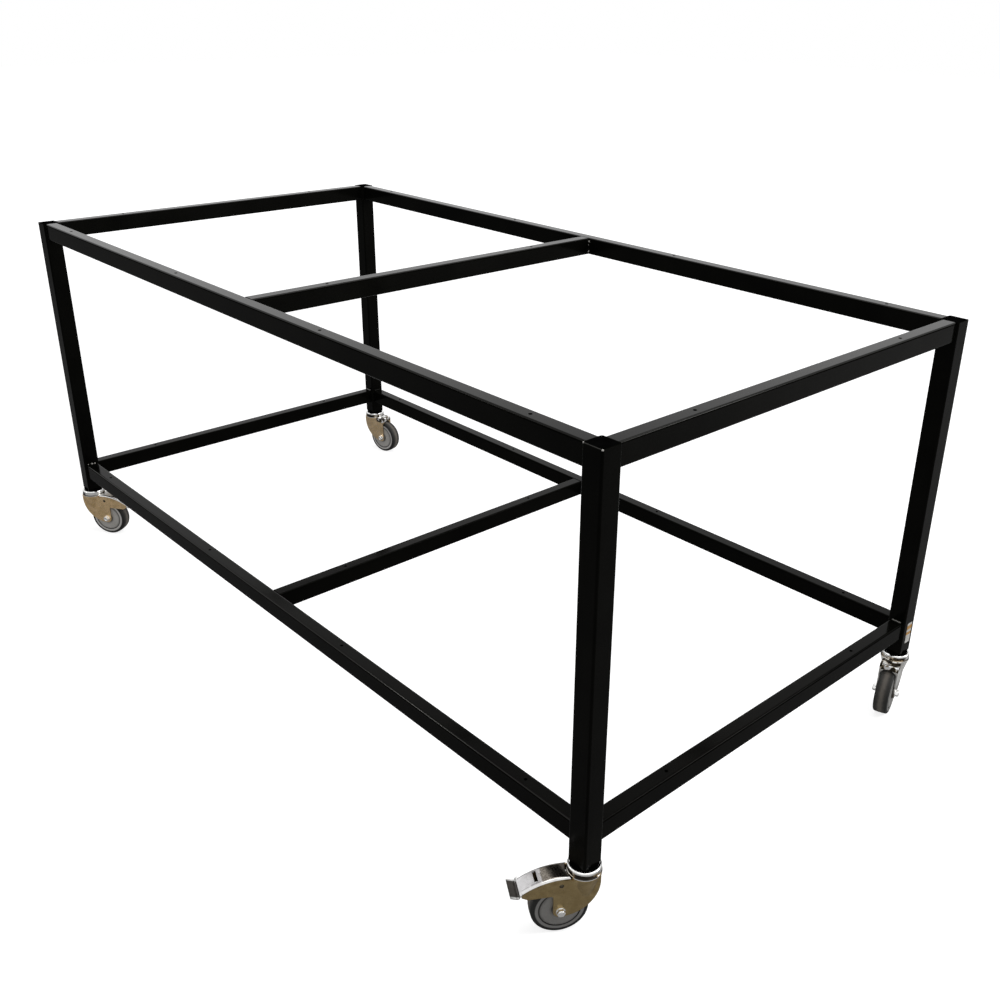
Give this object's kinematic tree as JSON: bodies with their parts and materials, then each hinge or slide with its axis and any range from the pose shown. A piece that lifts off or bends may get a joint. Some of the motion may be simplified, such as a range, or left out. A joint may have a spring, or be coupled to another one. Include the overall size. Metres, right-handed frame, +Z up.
{
  "type": "packing table frame",
  "caption": "Welded black steel table frame with an upper and a lower ring of rails, cross rails and swivel casters, the front ones braked.",
  "frame": {"origin": "floor point midway between the four swivel axes", "axes": "+X along the long rails to the right end, +Y to the back, +Z up"},
  "size_m": [2.0325, 1.1187, 0.87],
  "materials": {
    "black_powder_coat": "satin black powder coat",
    "black_plastic": "moulded black plastic",
    "steel": "zinc-plated steel",
    "bright_zinc": "bright zinc on pressed sheet",
    "fork_zinc": "zinc with a warm passivated tint",
    "pedal_zinc": "zinc on pressed sheet",
    "wheel_plastic": "moulded grey plastic",
    "guard_plastic": "moulded grey plastic",
    "tyre_rubber": "grey rubber",
    "shoe_rubber": "hard rubber"
  },
  "bodies": {
    "frame": {"leg_front_right": "black_powder_coat", "leg_front_left": "black_powder_coat", "leg_back_right": "black_powder_coat", "leg_back_left": "black_powder_coat", "top_rail_front": "black_powder_coat", "top_rail_back": "black_powder_coat", "top_rail_left": "black_powder_coat", "top_rail_right": "black_powder_coat", "top_rail_middle": "black_powder_coat", "shelf_rail_front": "black_powder_coat", "shelf_rail_back": "black_powder_coat", "shelf_rail_left": "black_powder_coat", "shelf_rail_right": "black_powder_coat", "shelf_rail_middle": "black_powder_coat", "leg_caps": "black_plastic", "stem_plugs": "black_plastic", "stem_bolts": "steel", "kingpins": "steel", "head_cup_front_right": "bright_zinc", "head_cup_front_left": "bright_zinc", "head_cup_back_right": "bright_zinc", "head_cup_back_left": "bright_zinc"},
    "swivel_front_right": {"lower_race_front_right": "bright_zinc", "bearing_balls_front_right": "steel", "fork_front_right": "fork_zinc", "axle_front_right": "steel", "pedal_rivets_front_right": "steel", "brake_spring_front_right": "steel"},
    "wheel_front_right": {"wheel_centre_front_right": "wheel_plastic", "tyre_front_right": "tyre_rubber", "thread_guards_front_right": "guard_plastic"},
    "pedal_front_right": {"pedal_front_right": "pedal_zinc", "brake_shoe_front_right": "shoe_rubber"},
    "swivel_front_left": {"lower_race_front_left": "bright_zinc", "bearing_balls_front_left": "steel", "fork_front_left": "fork_zinc", "axle_front_left": "steel", "pedal_rivets_front_left": "steel", "brake_spring_front_left": "steel"},
    "wheel_front_left": {"wheel_centre_front_left": "wheel_plastic", "tyre_front_left": "tyre_rubber", "thread_guards_front_left": "guard_plastic"},
    "pedal_front_left": {"pedal_front_left": "pedal_zinc", "brake_shoe_front_left": "shoe_rubber"},
    "swivel_back_right": {"lower_race_back_right": "bright_zinc", "bearing_balls_back_right": "steel", "fork_back_right": "fork_zinc", "axle_back_right": "steel"},
    "wheel_back_right": {"wheel_centre_back_right": "wheel_plastic", "tyre_back_right": "tyre_rubber", "thread_guards_back_right": "guard_plastic"},
    "swivel_back_left": {"lower_race_back_left": "bright_zinc", "bearing_balls_back_left": "steel", "fork_back_left": "fork_zinc", "axle_back_left": "steel"},
    "wheel_back_left": {"wheel_centre_back_left": "wheel_plastic", "tyre_back_left": "tyre_rubber", "thread_guards_back_left": "guard_plastic"}
  },
  "joints": [
    {"name": "swivel_front_right", "type": "hinge", "parent": "frame", "child": "swivel_front_right", "pos_m": [0.98, -0.48, 0.115], "axis": [0, 0, 1], "continuous": true},
    {"name": "wheel_front_right", "type": "hinge", "parent": "swivel_front_right", "child": "wheel_front_right", "pos_m": [0.95785, -0.51686, 0.05], "axis": [0.8572, -0.515, 0], "continuous": true},
    {"name": "pedal_front_right", "type": "hinge", "parent": "swivel_front_right", "child": "pedal_front_right", "pos_m": [0.95837, -0.516, 0.103], "axis": [-0.8572, 0.515, 0], "range_deg": [0, 8]},
    {"name": "swivel_front_left", "type": "hinge", "parent": "frame", "child": "swivel_front_left", "pos_m": [-0.98, -0.48, 0.115], "axis": [0, 0, 1], "continuous": true},
    {"name": "wheel_front_left", "type": "hinge", "parent": "swivel_front_left", "child": "wheel_front_left", "pos_m": [-0.94456, -0.45565, 0.05], "axis": [-0.5664, 0.8241, 0], "continuous": true},
    {"name": "pedal_front_left", "type": "hinge", "parent": "swivel_front_left", "child": "pedal_front_left", "pos_m": [-0.94539, -0.45621, 0.103], "axis": [0.5664, -0.8241, 0], "range_deg": [0, 8]},
    {"name": "swivel_back_right", "type": "hinge", "parent": "frame", "child": "swivel_back_right", "pos_m": [0.98, 0.48, 0.115], "axis": [0, 0, 1], "continuous": true},
    {"name": "wheel_back_right", "type": "hinge", "parent": "swivel_back_right", "child": "wheel_back_right", "pos_m": [0.993, 0.43901, 0.05], "axis": [0.9532, 0.3024, 0], "continuous": true},
    {"name": "swivel_back_left", "type": "hinge", "parent": "frame", "child": "swivel_back_left", "pos_m": [-0.98, 0.48, 0.115], "axis": [0, 0, 1], "continuous": true},
    {"name": "wheel_back_left", "type": "hinge", "parent": "swivel_back_left", "child": "wheel_back_left", "pos_m": [-0.93802, 0.48931, 0.05], "axis": [-0.2164, 0.9763, 0], "continuous": true}
  ]
}
